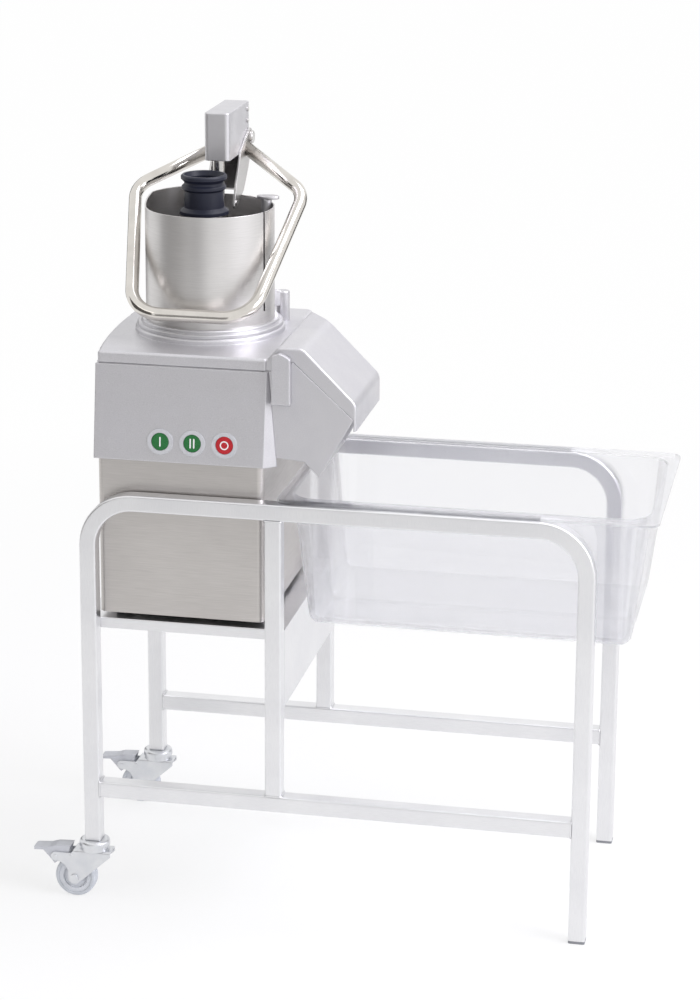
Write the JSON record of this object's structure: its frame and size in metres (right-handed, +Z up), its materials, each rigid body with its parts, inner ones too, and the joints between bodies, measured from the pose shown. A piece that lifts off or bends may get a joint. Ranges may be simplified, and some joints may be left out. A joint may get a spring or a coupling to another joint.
{
  "type": "vegetable cutting machine",
  "caption": "Vegetable cutter with round bulk hopper, lever pusher and side chute on a wheeled tube stand, with a clear food pan under the chute.",
  "frame": {"origin": "on the floor, under the middle of the overall length and width", "axes": "+X along the stand to the pan end, +Y to the back of the machine, +Z up; the control panel faces -Y"},
  "size_m": [0.937, 0.418, 1.1845],
  "materials": {
    "stand_steel": "satin stainless tube and sheet",
    "cap_plastic": "grey plastic",
    "caster_metal": "zinc plated pressed steel",
    "caster_pedal": "pale slate grey moulded plastic",
    "caster_tyre": "grey non-marking rubber",
    "caster_hub": "grey plastic",
    "clear_plastic": "clear polycarbonate",
    "housing_steel": "brushed stainless sheet",
    "foot_rubber": "black rubber",
    "motor_paint": "painted dark grey",
    "shaft_steel": "turned steel",
    "belt_rubber": "black rubber",
    "cast_aluminium": "satin cast aluminium",
    "green_cap": "green plastic",
    "red_cap": "red plastic",
    "bezel_plastic": "pale plastic",
    "disc_steel": "machined stainless",
    "seal_rubber": "black rubber",
    "hopper_steel": "brushed stainless sheet",
    "guide_metal": "satin aluminium",
    "dark_plastic": "blue black plastic",
    "polished_steel": "polished stainless",
    "head_aluminium": "satin cast aluminium",
    "arm_steel": "satin stainless plate"
  },
  "bodies": {
    "machine": {"front_hoop": "stand_steel", "rear_hoop": "stand_steel", "front_lower_rail": "stand_steel", "rear_lower_rail": "stand_steel", "front_middle_post": "stand_steel", "rear_middle_post": "stand_steel", "shelf_tray": "stand_steel", "drip_apron": "stand_steel", "foot_caps": "cap_plastic", "front_caster_stem": "caster_metal", "rear_caster_stem": "caster_metal", "base_housing": "housing_steel", "base_plate": "housing_steel", "machine_feet": "foot_rubber", "motor": "motor_paint", "drive_belt": "belt_rubber", "shaft_bearings": "shaft_steel", "bowl_casting": "cast_aluminium", "control_panel": "cast_aluminium", "button_bezels": "bezel_plastic", "hinge_bracket": "cast_aluminium", "hinge_pin": "shaft_steel"},
    "lid_and_hopper": {"lid": "cast_aluminium", "lid_seal": "seal_rubber", "hopper": "hopper_steel", "hopper_flange": "hopper_steel", "hopper_lug": "hopper_steel", "guide_post": "guide_metal", "guide_cap": "guide_metal"},
    "pusher": {"pusher_plate": "dark_plastic", "feed_tube": "dark_plastic", "tube_collar": "polished_steel", "pusher_shaft": "polished_steel", "head_box": "head_aluminium", "head_screws": "polished_steel", "pivot_bolt": "polished_steel"},
    "lever": {"channel_arm": "arm_steel", "handle": "polished_steel"},
    "latch": {"lid_latch": "cast_aluminium"},
    "cutting_rotor": {"drive_shaft": "shaft_steel", "drive_pulley": "shaft_steel", "ejector_disc": "cast_aluminium", "slicing_disc": "disc_steel", "disc_blades": "disc_steel"},
    "motor_rotor": {"motor_shaft": "shaft_steel", "motor_pulley": "shaft_steel"},
    "slow_cap": {"slow_button": "green_cap"},
    "fast_cap": {"fast_button": "green_cap"},
    "stop_cap": {"stop_button": "red_cap"},
    "pan": {"food_pan": "clear_plastic"},
    "front_fork": {"front_caster_fork": "caster_metal", "front_caster_axle": "caster_metal"},
    "front_wheel": {"front_caster_tyre": "caster_tyre", "front_caster_hub": "caster_hub"},
    "front_pedal": {"front_caster_pedal": "caster_pedal"},
    "rear_fork": {"rear_caster_fork": "caster_metal", "rear_caster_axle": "caster_metal"},
    "rear_wheel": {"rear_caster_tyre": "caster_tyre", "rear_caster_hub": "caster_hub"},
    "rear_pedal": {"rear_caster_pedal": "caster_pedal"}
  },
  "joints": [
    {"name": "lid_hinge", "type": "hinge", "parent": "machine", "child": "lid_and_hopper", "pos_m": [-0.2395, 0.1685, 0.85], "axis": [-1, 0, 0], "range_deg": [0, 85]},
    {"name": "pusher_lift", "type": "slide", "parent": "lid_and_hopper", "child": "pusher", "axis": [0, 0, 1], "range_m": [0, 0.15]},
    {"name": "lever_tilt", "type": "hinge", "parent": "pusher", "child": "lever", "pos_m": [-0.2275, 0.147, 1.1295], "axis": [-1, 0, 0], "range_deg": [0, 28.1]},
    {"name": "latch_swing", "type": "hinge", "parent": "machine", "child": "latch", "pos_m": [-0.0845, -0.1731, 0.799], "axis": [1, 0, 0], "range_deg": [0, 35]},
    {"name": "disc_spin", "type": "hinge", "parent": "machine", "child": "cutting_rotor", "pos_m": [-0.2325, 0, 0.78], "axis": [0, 0, 1], "continuous": true},
    {"name": "motor_spin", "type": "hinge", "parent": "machine", "child": "motor_rotor", "pos_m": [-0.2325, 0.102, 0.68], "axis": [0, 0, 1], "continuous": true},
    {"name": "pan_slide", "type": "slide", "parent": "machine", "child": "pan", "axis": [1, 0, 0], "range_m": [0, 0.3]},
    {"name": "slow_press", "type": "slide", "parent": "machine", "child": "slow_cap", "axis": [0, 0.9965, -0.0836], "range_m": [0, 0.0025], "stiffness_N_per_m": 400, "springref_m": -0.002},
    {"name": "fast_press", "type": "slide", "parent": "machine", "child": "fast_cap", "axis": [0, 0.9965, -0.0836], "range_m": [0, 0.0025], "stiffness_N_per_m": 400, "springref_m": -0.002},
    {"name": "stop_press", "type": "slide", "parent": "machine", "child": "stop_cap", "axis": [0, 0.9965, -0.0836], "range_m": [0, 0.0025], "stiffness_N_per_m": 400, "springref_m": -0.002},
    {"name": "front_swivel", "type": "hinge", "parent": "machine", "child": "front_fork", "pos_m": [-0.374, -0.1855, 0.085], "axis": [0, 0, 1], "continuous": true},
    {"name": "front_roll", "type": "hinge", "parent": "front_fork", "child": "front_wheel", "pos_m": [-0.4035, -0.1855, 0.032], "axis": [0, 1, 0], "continuous": true},
    {"name": "front_brake", "type": "hinge", "parent": "front_fork", "child": "front_pedal", "pos_m": [-0.4332, -0.1855, 0.0653], "axis": [0, -1, 0], "range_deg": [0, 8]},
    {"name": "rear_swivel", "type": "hinge", "parent": "machine", "child": "rear_fork", "pos_m": [-0.374, 0.1855, 0.085], "axis": [0, 0, 1], "continuous": true},
    {"name": "rear_roll", "type": "hinge", "parent": "rear_fork", "child": "rear_wheel", "pos_m": [-0.4035, 0.1855, 0.032], "axis": [0, 1, 0], "continuous": true},
    {"name": "rear_brake", "type": "hinge", "parent": "rear_fork", "child": "rear_pedal", "pos_m": [-0.4332, 0.1855, 0.0653], "axis": [0, -1, 0], "range_deg": [0, 8]}
  ],
  "couplings": [
    {"joint": "lever_tilt", "follows": "pusher_lift", "rad_per_m": 3.2578},
    {"joint": "motor_spin", "follows": "disc_spin", "ratio": 4}
  ]
}
